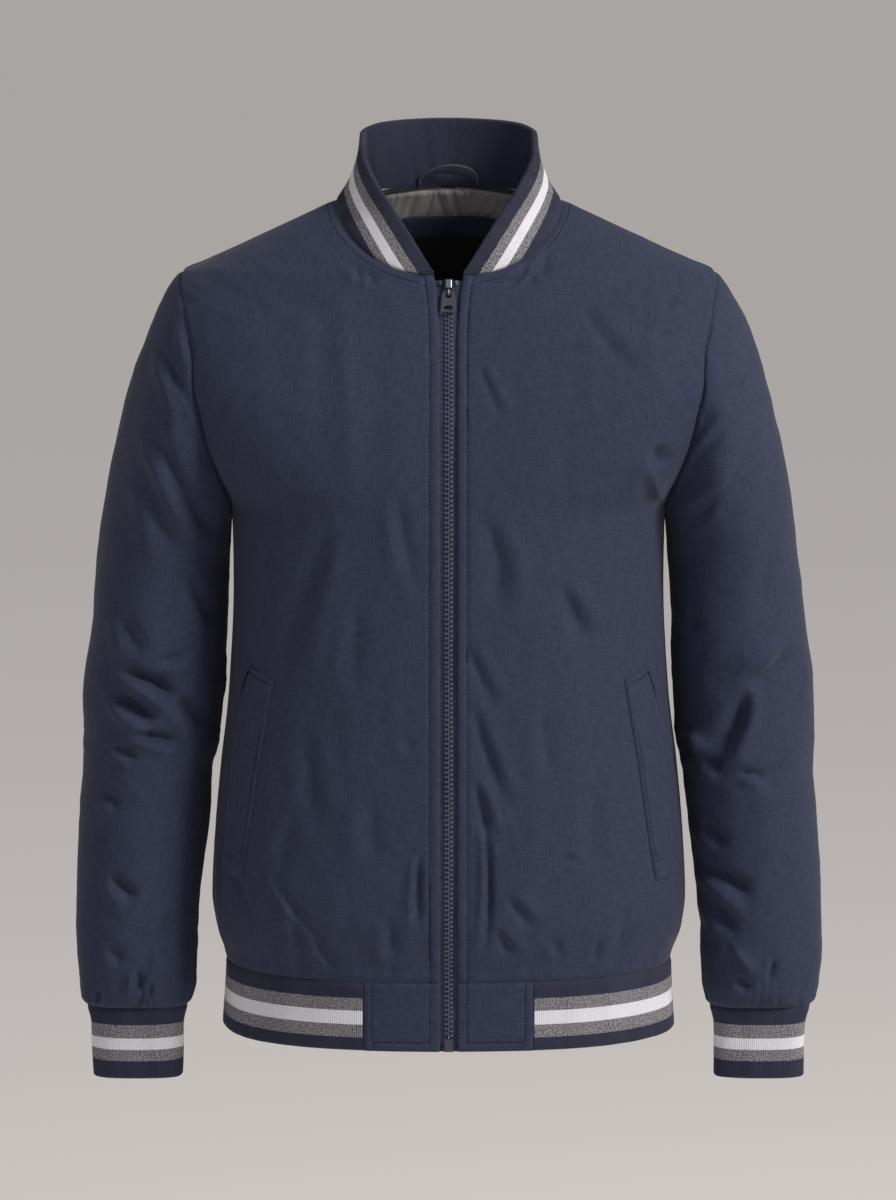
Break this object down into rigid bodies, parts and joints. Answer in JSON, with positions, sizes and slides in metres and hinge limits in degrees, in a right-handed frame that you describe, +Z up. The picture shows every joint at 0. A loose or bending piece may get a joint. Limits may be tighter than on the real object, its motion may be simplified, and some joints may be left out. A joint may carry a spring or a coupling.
{
  "type": "bomber jacket",
  "caption": "Zip-front bomber jacket, filled out as worn and hollow, with a ribbed collar, cuffs and hem, slanted welt pockets and a hinged zip pull.",
  "frame": {"origin": "middle of the neck base, level with the highest points of the shoulder seams", "axes": "+Z up the wearer, the wearer faces -Y, +X towards the wearer's left"},
  "size_m": [0.5996, 0.2607, 0.7693],
  "materials": {
    "shell_fabric": "matt plain weave",
    "rib_knit": "ribbed knit with white and grey stripes",
    "lining_satin": "satin lining",
    "zip_tape": "woven tape",
    "moulded_teeth": "moulded",
    "plated_metal": "dark satin plating",
    "label_cloth": "woven, blank"
  },
  "bodies": {
    "jacket": {"front_left": "shell_fabric", "front_right": "shell_fabric", "back": "shell_fabric", "sleeve_left": "shell_fabric", "sleeve_right": "shell_fabric", "hem_panel_left": "shell_fabric", "hem_panel_right": "shell_fabric", "pocket_welt_left": "shell_fabric", "pocket_welt_right": "shell_fabric", "back_neck_facing": "shell_fabric", "back_neck_lining": "lining_satin", "label": "label_cloth", "hanger_loop": "zip_tape", "collar": "rib_knit", "cuff_left": "rib_knit", "cuff_right": "rib_knit", "hem_rib": "rib_knit", "zip_tape_left": "zip_tape", "zip_tape_right": "zip_tape", "zip_chain": "moulded_teeth", "zip_slider": "plated_metal", "zip_slider_crown": "plated_metal", "zip_staple": "plated_metal", "zip_stop_left": "plated_metal", "zip_stop_right": "plated_metal", "zip_box": "plated_metal"},
    "pull_tab": {"zip_pull": "plated_metal"}
  },
  "joints": [
    {"name": "pull_hinge", "type": "hinge", "parent": "jacket", "child": "pull_tab", "pos_m": [0, -0.08339, -0.06819], "axis": [-1, 0, 0], "range_deg": [0, 150]}
  ]
}
